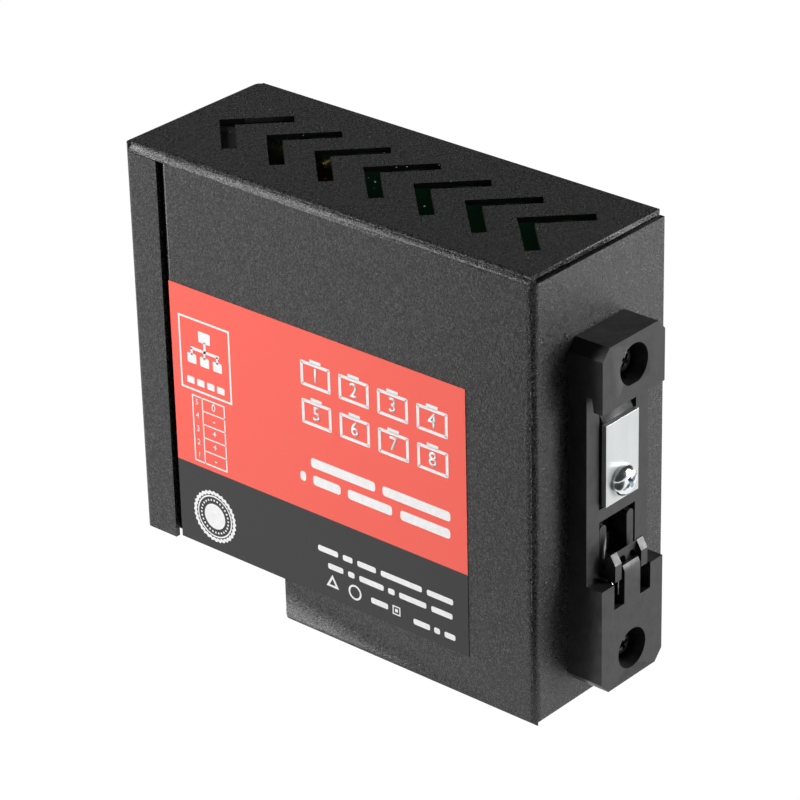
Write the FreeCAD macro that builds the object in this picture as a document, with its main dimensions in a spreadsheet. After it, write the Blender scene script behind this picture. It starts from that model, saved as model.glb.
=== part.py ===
"""DIN rail ethernet switch: a folded sheet-steel case with a board, eight ports and a rail clip.

Frame: X across the case (the label is on +X), Y from the ports (-Y) to the rail clip (+Y), Z up.
The origin is at the middle of the footprint, and the rear of the case stands on Z = 0.
Pieces of the case are drawn with Y = 0 at the front face, and pieces of the clip with Y = 0 at
the back of the rear panel. A Placement then moves each one into the shared frame.
"""
import FreeCAD, Part
import os
import re
import Sketcher

doc = FreeCAD.newDocument("din_rail_switch")
sheet = doc.addObject("Spreadsheet::Sheet", "Sizes")
Vector = FreeCAD.Vector
Rotation = FreeCAD.Rotation

# ---------------------------------------------------------------- driving dimensions, millimetres
SIZES = [
    # folded case
    ("case_width", 37.0), ("case_depth", 98.0), ("case_height", 90.0), ("gauge", 1.0),
    ("bend_radius", 1.8), ("seam_gap", 0.1), ("step_rise", 9.1), ("step_back", 36.8),
    # front cover, whose side flanges lap a set-back lip of the case
    ("cover_gap", 0.2), ("cover_lap", 8.1), ("lap_clear", 0.1), ("joggle_run", 1.5),
    ("joggle_radius", 0.8), ("cover_bend", 1.3), ("cover_drop", 0.2), ("cover_foot", 0.6),
    # vents in the top: seven chevrons that point at the ports
    ("vent_count", 7), ("vent_end", 8.7), ("vent_first", 7.0), ("vent_reach", 10.0),
    ("vent_width", 2.9),
    # side label
    ("label_thick", 0.1), ("label_front", 9.9), ("label_length", 72.6), ("label_bottom", 9.5),
    ("label_height", 54.8),
    # side cover and its screws
    ("cover_clear", 0.1), ("ear_size", 9.0), ("ear_inset", 5.4), ("ear_front", 31.5), ("ear_rear", 10.0),
    ("small_screw", 1.5), ("small_head", 2.8), ("small_sink", 0.8), ("small_length", 4.0),
    ("nut_radius", 2.6), ("nut_height", 1.6), ("screw_play", 0.15), ("flange_screw_inset", 9.0),
    # main board, which stands beside the side cover on four pillars
    ("pillar_height", 3.0), ("pillar_flats", 5.0), ("board_thick", 1.6), ("board_margin", 1.2),
    ("board_front", 2.0), ("hole_front", 22.4), ("hole_rear", 20.0), ("hole_drop", 11.4), ("hole_low", 17.0),
    ("board_head", 2.75), ("board_head_height", 1.7),
    # block of ports: two columns of four
    ("port_pitch", 14.0), ("port_rows", 4), ("port_column", 12.8), ("port_wall", 0.6),
    ("port_head", 1.6), ("port_depth", 15.8), ("port_proud", 0.4), ("shield_gauge", 0.3),
    ("port_width", 11.8), ("port_height", 6.9), ("latch_width", 6.0), ("latch_height", 2.2),
    ("cavity_depth", 12.0), ("port_rim", 1.0),
    ("port_lip", 0.2), ("port_play", 0.1), ("port_clear", 0.3), ("wire_width", 0.45), ("wire_pitch", 1.02),
    ("wire_length", 8.0), ("wire_foot", 0.3), ("wire_start", 1.6), ("wire_slope", 7.0),
    ("lamp_width", 2.4), ("lamp_height", 1.4), ("lamp_depth", 3.0),
    # power terminal: five ways, a header on the board and a plug in it
    ("way_pitch", 3.81), ("way_count", 5), ("header_end", 0.3), ("header_height", 7.2),
    ("header_depth", 9.2), ("header_wall", 0.8), ("header_low", 11.3), ("header_front", 2.0),
    ("plug_proud", 6.0), ("plug_height", 11.0), ("plug_clear", 0.2), ("plug_insert", 7.0),
    ("wire_entry", 1.3), ("pin_side", 1.0), ("pin_start", 3.0), ("header_way", 2.2),
    ("terminal_screw", 1.25), ("screw_deep", 5.0), ("screw_below", 0.6),
    # rail clip
    ("clip_width", 17.8), ("clip_low", 5.3), ("clip_top", 75.1), ("clip_depth", 7.65), ("rail_seat", 4.1),
    ("rail_low_stop", 27.0), ("rail_lip", 62.6), ("hook_root", 65.2), ("hook_gap", 1.2), ("hook_taper", 0.4),
    ("clip_corner_across", 2.0), ("clip_corner_up", 2.2), ("clip_hole_low", 11.5), ("clip_hole_top", 69.3),
    ("clip_bore", 4.0), ("clip_bore_floor", 3.6), ("clip_screw", 1.5), ("clip_head", 2.9),
    ("clip_head_height", 2.0), ("rivet_nut", 2.2), ("press_clear", 0.05), ("rivet_flange", 3.4),
    ("rivet_length", 4.5),
    # the plate on the clip, its seat and its screw
    ("plate_width", 9.4), ("plate_low", 41.7), ("plate_top", 58.0), ("plate_thick", 1.0),
    ("seat_side", 0.4), ("seat_height", 0.1), ("trough_side", 0.6), ("trough_floor", 2.6), ("ramp_run", 3.2),
    ("plate_hole", 45.6), ("plate_head", 3.0), ("plate_head_height", 2.0), ("plate_screw_root", 1.0),
    ("recess_width", 0.8),
    # latch that slides in the clip
    ("latch_play", 0.3), ("window_side", 5.2), ("window_top", 38.5), ("cavity_low", 16.6),
    ("front_skin", 1.25), ("slot_low", 21.8), ("slot_width", 3.0), ("slot_centre", 3.8),
    ("tongue_rise", 2.5), ("tongue_thick", 1.0), ("slide_back", 0.5), ("slide_thick", 2.7),
    ("slide_low", 20.3), ("slide_top", 33.0), ("arm_width", 1.9), ("arm_rise", 4.4),
    ("nose_back", 5.2), ("nose_ridge", 6.3), ("nose_front", 7.4), ("nose_low", 27.1),
    ("nose_top", 32.3), ("nose_fall", 1.9), ("nose_back_fall", 1.0), ("shelf_thick", 2.2),
    ("prong_width", 1.8), ("nose_side", 4.7), ("arch_radius", 1.15), ("web_half", 0.3),
    ("lug_side", 1.0), ("lug_thick", 1.5), ("lug_rise", 2.0), ("lug_gap", 0.05),
    # latch spring
    ("spring_radius", 1.0), ("spring_wire", 0.4), ("spring_turns", 4), ("spring_slot", 1.5),
    ("spring_top", 28.2), ("peg_rise", 3.8), ("peg_half", 1.2),
    # parts on the board
    ("chip_side", 14.0), ("chip_height", 1.6), ("chip_front", 46.0), ("chip_low", 46.0),
    ("lead_length", 1.0), ("lead_width", 0.3), ("lead_pitch", 0.8),
    ("coil_pack_depth", 12.6), ("coil_pack_length", 26.8), ("coil_pack_height", 5.8),
    ("coil_pack_front", 18.0), ("coil_pack_low", 20.4), ("coil_pack_gap", 1.0),
    ("can_radius", 4.0), ("can_height", 10.5), ("can_inset", 10.0), ("can_low", 19.0), ("can_pitch", 10.0),
    ("inductor_side", 11.0), ("inductor_height", 5.6), ("inductor_gap", 3.0), ("inductor_low", 15.0),
    ("crystal_length", 11.0), ("crystal_width", 4.6), ("crystal_height", 3.4), ("crystal_front", 68.0),
    ("crystal_low", 50.0), ("regulator_length", 6.0), ("regulator_width", 5.0), ("regulator_height", 1.6),
    ("regulator_gap", 3.0), ("regulator_low", 18.0),
    ("chip_part_length", 2.0), ("chip_part_width", 1.25), ("chip_part_height", 0.9),
    ("chip_part_pitch", 3.0), ("chip_part_low", 64.0),
    # power light: a bent light pipe from the board to the front
    ("pipe_half", 1.4), ("pipe_back", 14.4), ("pipe_up", 22.0), ("pipe_out", 8.0),
    ("light_thick", 1.1), ("light_side", 2.4), ("light_clear", 0.2),
]
ALIASES = [name for name, value in SIZES]
for row, (name, value) in enumerate(SIZES, start=1):
    sheet.set("A%d" % row, name)
    sheet.set("B%d" % row, str(value))
    sheet.setAlias("B%d" % row, name)
doc.recompute()

NAMES = re.compile(r"\b(%s)\b" % "|".join(sorted(ALIASES, key=len, reverse=True)))


# ---------------------------------------------------------------- sizes and placing
def expr(text):
    """Turn a sum of size names into an expression on the sheet."""
    return NAMES.sub(r"Sizes.\1", text)


def value(text):
    """What such a sum comes to."""
    return float(sheet.evalExpression(expr(text)))


def bind(thing, prop, text):
    thing.setExpression(prop, expr(text))


def place(thing, x="0", y="0", z="0"):
    for axis, text in zip("xyz", (x, y, z)):
        bind(thing, "Placement.Base." + axis, text)
    return thing


FRONT_FACE = "(plug_proud - case_depth - clip_depth) / 2"
REAR_FACE = "(plug_proud + case_depth - clip_depth) / 2"
nodes = []


def node(thing, name, origin=FRONT_FACE):
    """Name a finished piece and move it from its own drawing frame into the shared one."""
    if thing.TypeId == "Part::Box":
        thing = group(name + "_form", [thing])
    thing.Label = name
    bind(thing, "Placement.Base.y", origin)
    nodes.append(thing)
    return thing


# ---------------------------------------------------------------- Part primitives and booleans
def box(name, length, at):
    thing = doc.addObject("Part::Box", name)
    for prop, text in zip(("Length", "Width", "Height"), length):
        bind(thing, prop, text)
    return place(thing, *at)


def rod(name, radius, height, at, along="z"):
    thing = doc.addObject("Part::Cylinder", name)
    bind(thing, "Radius", radius)
    bind(thing, "Height", height)
    thing.Placement.Rotation = TURNS[along]
    return place(thing, *at)


def hexagon(name, radius, height, at, along="z"):
    """A six-sided bar, for nuts and for shanks that stay hidden."""
    thing = doc.addObject("Part::Prism", name)
    thing.Polygon = 6
    bind(thing, "Circumradius", radius)
    bind(thing, "Height", height)
    thing.Placement.Rotation = TURNS[along]
    return place(thing, *at)


def taper(name, low_radius, top_radius, height, at, along="z"):
    thing = doc.addObject("Part::Cone", name)
    bind(thing, "Radius1", low_radius)
    bind(thing, "Radius2", top_radius)
    bind(thing, "Height", height)
    thing.Placement.Rotation = TURNS[along]
    return place(thing, *at)


TURNS = {
    "z": Rotation(),
    "x": Rotation(Vector(0, 1, 0), 90),
    "-x": Rotation(Vector(0, 1, 0), -90),
    "y": Rotation(Vector(1, 0, 0), -90),
    "-y": Rotation(Vector(1, 0, 0), 90),
}


def fuse(name, things):
    thing = doc.addObject("Part::MultiFuse", name)
    thing.Shapes = things
    return thing


def cut(name, base, tool):
    thing = doc.addObject("Part::Cut", name)
    thing.Base = base
    thing.Tool = tool
    return thing


def group(name, things):
    """Separate solids that share one node."""
    thing = doc.addObject("Part::Compound", name)
    thing.Links = things
    return thing


# ---------------------------------------------------------------- PartDesign helpers
def body(name):
    return doc.addObject("PartDesign::Body", name)


def plane(part, role):
    return next(feature for feature in part.Origin.OriginFeatures if feature.Role == role)


def outline(part, name, role, points, offset="0"):
    """Sketch a closed outline of straight sides, each corner held by two sizes from the origin."""
    sketch = part.newObject("Sketcher::SketchObject", name)
    sketch.AttachmentSupport = [(plane(part, role), "")]
    sketch.MapMode = "FlatFace"
    bind(sketch, "AttachmentOffset.Base.z", offset)
    corners = [Vector(value(across), value(up), 0) for across, up in points]
    count = len(corners)
    for index in range(count):
        sketch.addGeometry(Part.LineSegment(corners[index], corners[(index + 1) % count]))
    for index in range(count):
        sketch.addConstraint(Sketcher.Constraint("Coincident", index, 2, (index + 1) % count, 1))
    for index, (across, up) in enumerate(points):
        at = corners[index]
        for kind, text, number in (("DistanceX", across, at.x), ("DistanceY", up, at.y)):
            constraint = sketch.addConstraint(Sketcher.Constraint(kind, -1, 1, index, 1, number))
            bind(sketch, "Constraints[%d]" % constraint, text)
    return sketch


def rectangle(left, low, right, top):
    return [(left, low), (right, low), (right, top), (left, top)]


def pad(part, sketch, length, middle=False, backward=False):
    feature = part.newObject("PartDesign::Pad", sketch.Name + "_pad")
    feature.Profile = sketch
    bind(feature, "Length", length)
    feature.Midplane = middle
    feature.Reversed = backward
    doc.recompute()
    return feature


def pocket(part, sketch, length, middle=False, backward=False):
    """Cut a pocket, and make sure that it met the solid."""
    before = part.Shape.Volume
    feature = part.newObject("PartDesign::Pocket", sketch.Name + "_pocket")
    feature.Profile = sketch
    bind(feature, "Length", length)
    feature.Midplane = middle
    feature.Reversed = backward
    doc.recompute()
    if part.Shape.Volume > before - 1e-6:
        raise RuntimeError(sketch.Name + " cuts nothing")
    return feature


def edges(part, wanted):
    """Names of the edges whose middle and ends all pass a test."""
    found = []
    for number, edge in enumerate(part.Shape.Edges, start=1):
        places = [edge.valueAt(edge.FirstParameter + share * (edge.LastParameter - edge.FirstParameter))
                  for share in (0.0, 0.5, 1.0)]
        if all(wanted(point) for point in places):
            found.append("Edge%d" % number)
    return found


def fillet(part, name, wanted, radius):
    names = edges(part, wanted)
    if not names:
        raise RuntimeError(name + " finds no edge")
    base = part.Tip
    feature = part.newObject("PartDesign::Fillet", name)
    feature.Base = (base, names)
    bind(feature, "Radius", radius)
    doc.recompute()
    return feature


def repeat(part, feature, role, length, count):
    """Repeat a feature in a row along an axis of the body."""
    pattern = part.newObject("PartDesign::LinearPattern", feature.Name + "_row")
    pattern.Originals = [feature]
    pattern.Direction = (plane(part, role), [""])
    bind(pattern, "Length", length)
    bind(pattern, "Occurrences", count)
    part.Tip = pattern
    doc.recompute()
    return pattern


def merge(part, name, other):
    feature = part.newObject("PartDesign::Boolean", name)
    feature.setObjects([other])
    feature.Type = "Fuse"
    doc.recompute()
    return feature


def near(number, text):
    return abs(number - value(text)) < 1e-4


# ---------------------------------------------------------------- case shell, folded from one sheet
# The label side carries the top, the rear and the floor, bent from it. Its front edge is joggled
# in by one gauge, as a lip under the front cover's flange. The corners between the bent panels
# stay open, and the far side is closed by a cover of its own.
SHELL_FRONT = "(gauge + cover_gap)"
SIDE = "(case_width / 2)"
JOGGLE = "(gauge + lap_clear)"
JOGGLE_BACK = "(cover_lap + joggle_run)"
SEAM = "(gauge + seam_gap)"
EAR_LEFT = "(gauge + cover_clear - %s)" % SIDE

shell = body("shell_body")
pad(shell, outline(shell, "side_profile", "YZ_Plane", [
    (JOGGLE_BACK, "step_rise"), ("step_back", "step_rise"), ("step_back", "0"), ("case_depth", "0"),
    ("case_depth", "case_height"), (JOGGLE_BACK, "case_height")]), "case_width", middle=True)
fillet(shell, "outer_bends", lambda p: near(p.x, SIDE) and (
    near(p.y, "case_depth") or near(p.z, "case_height") or near(p.z, "step_rise") or near(p.z, "0")),
    "bend_radius")
fillet(shell, "joggle_bend", lambda p: near(p.x, SIDE) and near(p.y, JOGGLE_BACK), "joggle_radius")
lip_blank = body("lip_blank")
pad(lip_blank, outline(lip_blank, "lip_profile", "YZ_Plane",
                       rectangle(SHELL_FRONT, "step_rise", JOGGLE_BACK, "case_height"),
                       "-" + SIDE), "case_width - " + JOGGLE)
fillet(lip_blank, "lip_bends", lambda p: near(p.x, SIDE + " - " + JOGGLE) and (
    near(p.z, "case_height") or near(p.z, "step_rise")), "bend_radius")
merge(shell, "lip_joined", lip_blank)
INNER = [(JOGGLE_BACK + " + gauge", "step_rise + gauge"), ("step_back + gauge", "step_rise + gauge"),
         ("step_back + gauge", "gauge"), ("case_depth - gauge", "gauge"),
         ("case_depth - gauge", "case_height - gauge"), (JOGGLE_BACK + " + gauge", "case_height - gauge")]
pocket(shell, outline(shell, "inside", "YZ_Plane", INNER, "-" + SIDE), "case_width - gauge", backward=True)
pocket(shell, outline(shell, "inside_lip", "YZ_Plane",
                      rectangle("0", "step_rise + gauge", JOGGLE_BACK + " + 2 * gauge",
                                "case_height - gauge"),
                      "-" + SIDE), "case_width - gauge - " + JOGGLE, backward=True)
for name, low, top in (("top_seam", "case_height - " + SEAM, "case_height + gauge"),
                       ("floor_seam", "-gauge", SEAM)):
    pocket(shell, outline(shell, name, "YZ_Plane",
                          rectangle("case_depth - " + SEAM, low, "case_depth + gauge", top), "-" + SIDE),
           "case_width - gauge", backward=True)
chevron = [("0", "vent_first"), ("vent_reach", "vent_first + vent_reach"),
           ("vent_reach - vent_width / sqrt(2)", "vent_first + vent_reach + vent_width / sqrt(2)"),
           ("0", "vent_first + vent_width * sqrt(2)"),
           ("vent_width / sqrt(2) - vent_reach", "vent_first + vent_reach + vent_width / sqrt(2)"),
           ("-vent_reach", "vent_first + vent_reach")]
vent = pocket(shell, outline(shell, "vent", "XY_Plane", chevron, "case_height"), "1.5 * gauge")
repeat(shell, vent, "Y_Axis", "case_depth - vent_first - vent_reach - vent_end", "vent_count")

# Ears behind the side cover carry its press nuts: two hang from the top and two stand on the floor.
EAR_BACK = "(case_depth - ear_rear)"
EARS = [("ear_front", "case_height - gauge", "-1", "case_height - gauge - ear_inset"),
        (EAR_BACK, "case_height - gauge", "-1", "case_height - gauge - ear_inset"),
        ("ear_front", "step_rise + gauge", "1", "step_rise + gauge + ear_inset"),
        (EAR_BACK, "gauge", "1", "gauge + ear_inset")]
shell_parts = [shell]
for index, (along, edge, way, hole_up) in enumerate(EARS):
    low = edge if way == "1" else "%s - ear_size" % edge
    shell_parts.append(box("ear_%d" % index, ("gauge", "ear_size", "ear_size"),
                           (EAR_LEFT, "%s - ear_size / 2" % along, low)))
shell_holes = [hexagon("ear_hole_%d" % index, "small_screw + screw_play", "3 * gauge",
                   (EAR_LEFT + " - gauge", along, hole_up), "x")
               for index, (along, edge, way, hole_up) in enumerate(EARS)]
for index, up in enumerate(("clip_hole_low", "clip_hole_top")):
    shell_holes.append(hexagon("rear_hole_%d" % index, "rivet_nut + press_clear", "3 * gauge",
                           ("0", "case_depth - 2 * gauge", up), "y"))
node(cut("case_shell_cut", fuse("case_shell_joined", shell_parts), fuse("case_shell_holes", shell_holes)),
     "case_shell")

# ---------------------------------------------------------------- side cover, flat on the far side
FAR = "(-case_width / 2)"
cover_plate = box("side_plate", ("gauge", "case_depth - gauge - cover_clear - %s" % JOGGLE_BACK,
                                 "case_height - 2 * (gauge + cover_clear)"),
                  (FAR, JOGGLE_BACK, "gauge + cover_clear"))
cover_lip = box("side_lip", ("gauge", JOGGLE_BACK + " - cover_gap",
                             "case_height - step_rise - 2 * (gauge + cover_clear)"),
                (FAR + " + " + JOGGLE, SHELL_FRONT, "step_rise + gauge + cover_clear"))
cover_joint = box("side_joint", (JOGGLE + " + gauge", "gauge",
                                "case_height - step_rise - 2 * (gauge + cover_clear)"),
                  (FAR, JOGGLE_BACK, "step_rise + gauge + cover_clear"))
cover_step = box("side_step", ("3 * gauge", "step_back + gauge + cover_clear",
                               "step_rise + gauge + cover_clear"),
                 (FAR + " - gauge", "0", "0"))
cover_holes = []
for index, (along, edge, way, hole_up) in enumerate(EARS):
    cover_holes.append(hexagon("side_hole_%d" % index, "small_screw + screw_play", "3 * gauge",
                           (FAR + " - gauge", along, hole_up), "x"))
    cover_holes.append(taper("side_sink_%d" % index, "small_head + screw_play", "small_screw + screw_play",
                             "small_sink", (FAR, along, hole_up), "x"))
HOLE_TOP = "(case_height - hole_drop)"
HOLE_BACK = "(case_depth - hole_rear)"
PILLARS = [("hole_front", HOLE_TOP), (HOLE_BACK, HOLE_TOP),
           ("hole_front", "hole_low"), (HOLE_BACK, "hole_low")]
FLANGE_SCREWS = ["step_rise + flange_screw_inset", "case_height - flange_screw_inset"]
for index, up in enumerate(FLANGE_SCREWS):
    cover_holes.append(hexagon("side_lip_hole_%d" % index, "small_screw + screw_play", "6 * gauge",
                           (FAR + " - gauge", "cover_lap / 2 + gauge / 2", up), "x"))
node(cut("side_cover_cut", fuse("side_cover_joined", [cover_plate, cover_joint, cover_lip]),
         fuse("side_cover_holes", [cover_step] + cover_holes)), "side_cover")

# ---------------------------------------------------------------- front cover, a channel over the ports
COVER_LOW = "(step_rise - cover_foot)"
COVER_TOP = "(case_height - cover_drop)"
BOARD_FACE = "(gauge + pillar_height + board_thick - case_width / 2)"
PORT_RIGHT = "(%s + 2 * port_column)" % BOARD_FACE
PORT_LOW = "((case_height - port_head) - port_rows * port_pitch - 2 * port_wall)"
PLUG_LOW = "(header_low + header_end)"
PLUG_LENGTH = "(way_pitch * way_count)"

front = body("front_body")
pad(front, outline(front, "channel", "XY_Plane", [
    ("-" + SIDE, "0"), (SIDE, "0"), (SIDE, "cover_lap"), (SIDE + " - gauge", "cover_lap"),
    (SIDE + " - gauge", "gauge"), ("gauge - " + SIDE, "gauge"), ("gauge - " + SIDE, "cover_lap"),
    ("-" + SIDE, "cover_lap")], COVER_LOW), "%s - %s" % (COVER_TOP, COVER_LOW))
fillet(front, "cover_bends", lambda p: near(abs(p.x), SIDE) and near(p.y, "0"), "cover_bend")
fillet(front, "cover_bends_inside", lambda p: near(abs(p.x), SIDE + " - gauge") and near(p.y, "gauge"),
       "cover_bend - gauge")
for name, low, top in (("far_flange_foot", COVER_LOW + " - gauge", "step_rise + gauge + cover_clear"),
                       ("far_flange_head", "case_height - gauge - cover_clear", COVER_TOP + " + gauge")):
    pocket(front, outline(front, name, "YZ_Plane", rectangle("gauge", low, "cover_lap + gauge", top),
                          FAR + " - gauge"), "3 * gauge", backward=True)
for name, left, low, right, top in (
        ("port_window", BOARD_FACE + " - port_clear", PORT_LOW + " - port_clear",
         PORT_RIGHT + " + port_clear", "case_height - port_head + port_clear"),
        ("plug_window", BOARD_FACE + " - plug_clear", "header_low - plug_clear",
         BOARD_FACE + " + plug_height + plug_clear",
         PLUG_LOW + " + " + PLUG_LENGTH + " + header_end + plug_clear")):
    window = outline(front, name, "XZ_Plane", rectangle(left, low, right, top))
    pocket(front, window, "8 * gauge", middle=True)
light_hole = outline(front, "light_hole", "XZ_Plane", rectangle(
    "pipe_out - pipe_half - light_clear", "pipe_up - pipe_half - light_clear",
    "pipe_out + pipe_half + light_clear", "pipe_up + pipe_half + light_clear"))
pocket(front, light_hole, "8 * gauge", middle=True)
flange_holes = []
for index, up in enumerate(FLANGE_SCREWS):
    at = (FAR, "cover_lap / 2 + gauge / 2", up)
    flange_holes.append(hexagon("flange_hole_%d" % index, "small_screw + screw_play", "2 * gauge",
                            (FAR + " - gauge / 2", at[1], up), "x"))
    flange_holes.append(taper("flange_sink_%d" % index, "small_head + screw_play",
                              "small_screw + screw_play", "small_sink", at, "x"))
node(cut("front_cover_cut", front, fuse("front_cover_holes", flange_holes)), "front_cover")

# ---------------------------------------------------------------- label
node(box("label_sheet", ("label_thick", "label_length", "label_height"),
         (SIDE, "label_front", "label_bottom")), "side_label")


# ---------------------------------------------------------------- screws and press nuts of the case
def sunk_screw(name, at):
    """A countersunk screw that points into the case from the far side."""
    head = taper(name + "_head", "small_head", "small_screw", "small_sink", at, "x")
    shank = hexagon(name + "_shank", "small_screw", "small_length", at, "x")
    recess = [box(name + "_slot_a", ("small_sink", "small_head", "small_screw / 3"),
                  (at[0] + " - small_sink / 3", at[1] + " - small_head / 2", at[2] + " - small_screw / 6")),
              box(name + "_slot_b", ("small_sink", "small_screw / 3", "small_head"),
                  (at[0] + " - small_sink / 3", at[1] + " - small_screw / 6", at[2] + " - small_head / 2"))]
    return cut(name, fuse(name + "_body", [head, shank]), fuse(name + "_recess", recess))


def press_nut(name, at):
    """A press nut on the inner face of a sheet, with its thread bored through."""
    return cut(name, hexagon(name + "_body", "nut_radius", "nut_height", at, "x"),
               hexagon(name + "_bore", "small_screw", "3 * nut_height",
                   (at[0] + " - nut_height", at[1], at[2]), "x"))


node(group("side_screws", [sunk_screw("side_screw_%d" % index, (FAR, along, hole_up))
                           for index, (along, edge, way, hole_up) in enumerate(EARS)]), "side_cover_screws")
node(group("ear_nut_set", [press_nut("ear_nut_%d" % index, (EAR_LEFT + " + gauge", along, hole_up))
                           for index, (along, edge, way, hole_up) in enumerate(EARS)]), "case_press_nuts")
FLANGE_MID = "cover_lap / 2 + gauge / 2"
node(group("flange_screws", [sunk_screw("flange_screw_%d" % index, (FAR, FLANGE_MID, up))
                             for index, up in enumerate(FLANGE_SCREWS)]), "front_cover_screws")
LIP_BACK = FAR + " + " + JOGGLE + " + gauge"
node(group("lip_nut_set", [press_nut("lip_nut_%d" % index, (LIP_BACK, FLANGE_MID, up))
                           for index, up in enumerate(FLANGE_SCREWS)]), "front_cover_nuts")

# ---------------------------------------------------------------- main board on four pillars
BOARD_BACK = "(gauge + pillar_height - case_width / 2)"
BOARD_LOW = "(gauge + board_margin)"
BOARD_TOP = "(case_height - gauge - board_margin)"
board = body("board_body")
pad(board, outline(board, "board_outline", "YZ_Plane", [
    ("board_front", "step_rise + " + BOARD_LOW), ("step_back + " + BOARD_LOW, "step_rise + " + BOARD_LOW),
    ("step_back + " + BOARD_LOW, BOARD_LOW), ("case_depth - gauge - 2 * board_margin", BOARD_LOW),
    ("case_depth - gauge - 2 * board_margin", BOARD_TOP), ("board_front", BOARD_TOP)], BOARD_BACK),
    "board_thick")
board_holes = [hexagon("board_hole_%d" % index, "small_screw + screw_play", "3 * board_thick",
                   (BOARD_BACK + " - board_thick", along, up), "x")
               for index, (along, up) in enumerate(PILLARS)]
node(cut("board_cut", board, fuse("board_holes", board_holes)), "main_board")

pillars = []
screws = []
for index, (along, up) in enumerate(PILLARS):
    prism = hexagon("pillar_%d" % index, "pillar_flats / sqrt(3)", "pillar_height",
                    (FAR + " + gauge", along, up), "x")
    bore = hexagon("pillar_bore_%d" % index, "small_screw", "2 * pillar_height",
               (FAR + " + gauge * 1.5", along, up), "x")
    pillars.append(cut("pillar_cut_%d" % index, prism, bore))
    head = rod("board_head_%d" % index, "board_head", "board_head_height", (BOARD_FACE, along, up), "x")
    shank = hexagon("board_shank_%d" % index, "small_screw", "board_thick + pillar_height / 2",
                (BOARD_BACK + " - pillar_height / 2", along, up), "x")
    mid = BOARD_FACE + " + board_head_height / 2"
    slot = [box("board_slot_a%d" % index, ("board_head_height", "board_head * 1.2", "small_screw / 3"),
                (mid, along + " - board_head * 0.6", up + " - small_screw / 6")),
            box("board_slot_b%d" % index, ("board_head_height", "small_screw / 3", "board_head * 1.2"),
                (mid, along + " - small_screw / 6", up + " - board_head * 0.6"))]
    screws.append(cut("board_screw_%d" % index, fuse("board_screw_body_%d" % index, [head, shank]),
                      fuse("board_screw_slot_%d" % index, slot)))
node(group("pillar_set", pillars), "board_pillars")
node(group("board_screw_set", screws), "board_screws")


# ---------------------------------------------------------------- network ports, two columns of four
def port_frame(column, row):
    """Where one socket lies: its notch side, its mouth and its middle height."""
    left = BOARD_FACE + " + %d * port_column" % column
    foot = "(%s + port_wall + %d * port_pitch)" % (PORT_LOW, row)
    middle = "(%s + port_pitch / 2)" % foot
    if column == 0:
        notch = "(%s + port_rim)" % left
        mouth = "(%s + latch_height)" % notch
        wall = "(%s + port_height)" % mouth
    else:
        notch = "(%s + port_column - port_rim - latch_height)" % left
        mouth = "(%s - port_height)" % notch
        wall = mouth
    return notch, mouth, wall, middle


SOCKETS = [(column, row) for column in range(2) for row in range(4)]
BLOCK = ("2 * port_column", "port_depth + port_proud", "case_height - port_head - " + PORT_LOW)
skin = box("shield_blank", BLOCK, (BOARD_FACE, "-port_proud", PORT_LOW))
hollow = box("shield_hollow", ("2 * port_column - shield_gauge",
                               "port_depth + port_proud - 2 * shield_gauge",
                               "case_height - port_head - %s - 2 * shield_gauge" % PORT_LOW),
             (BOARD_FACE, "shield_gauge - port_proud", PORT_LOW + " + shield_gauge"))
INNER_DEPTH = "(port_depth + port_proud - 2 * (shield_gauge + port_play))"
jack = box("jack_blank", ("2 * port_column - shield_gauge - port_play", INNER_DEPTH,
                          "case_height - port_head - %s - 2 * (shield_gauge + port_play)" % PORT_LOW),
           (BOARD_FACE, "shield_gauge + port_play - port_proud", PORT_LOW + " + shield_gauge + port_play"))
mouths = []
cavities = []
lamps = []
wires = []
for column, row in SOCKETS:
    notch, mouth, wall, middle = port_frame(column, row)
    tag = "%d%d" % (column, row)
    mouths.append(box("mouth_" + tag, ("port_height + latch_height + port_lip", "4 * shield_gauge",
                                       "port_width + 2 * port_lip"),
                      ((notch if column == 0 else mouth + " - port_lip"), "-port_proud - 2 * shield_gauge",
                       middle + " - port_width / 2 - port_lip")))
    cavities.append(box("cavity_" + tag, ("port_height", "cavity_depth + port_proud", "port_width"),
                        (mouth, "-port_proud", middle + " - port_width / 2")))
    cavities.append(box("notch_" + tag, ("latch_height", "cavity_depth + port_proud", "latch_width"),
                        (notch, "-port_proud", middle + " - latch_width / 2")))
    for side, at_up in enumerate((middle + " - port_width / 2", middle + " + port_width / 2 - lamp_width")):
        lamps.append(box("lamp_%s%d" % (tag, side), ("lamp_height", "lamp_depth", "lamp_width"),
                         (notch + " + (latch_height - lamp_height) / 2", "-port_proud", at_up)))
    for number in range(8):
        wire = box("wire_%s%d" % (tag, number), ("wire_length", "wire_width", "wire_width"),
                   (wall + (" - wire_foot" if column == 0 else " + wire_foot + wire_width"), "wire_start",
                    "%s + (%d - 3.5) * wire_pitch - wire_width / 2" % (middle, number)))
        wire.Placement.Rotation = Rotation(Vector(0, 0, 1), 90)
        bind(wire, "Placement.Rotation.Angle", "90 + wire_slope" if column == 0 else "90 - wire_slope")
        wires.append(wire)
lamp_slots = []
for lamp in lamps:
    slot = doc.addObject("Part::Box", lamp.Name + "_seat")
    for side in ("Length", "Width", "Height"):
        slot.setExpression(side, lamp.Name + "." + side)
    for side in ("x", "y", "z"):
        slot.setExpression("Placement.Base." + side, lamp.Name + ".Placement.Base." + side)
    lamp_slots.append(slot)
node(cut("shield_cut", skin, fuse("shield_holes", [hollow] + mouths)), "jack_shield")
node(cut("jack_cut", jack, fuse("jack_holes", cavities + lamp_slots)), "jack_body")
node(group("wire_set", wires), "jack_contacts")
node(group("lamp_set", lamps), "jack_lamps")

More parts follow.
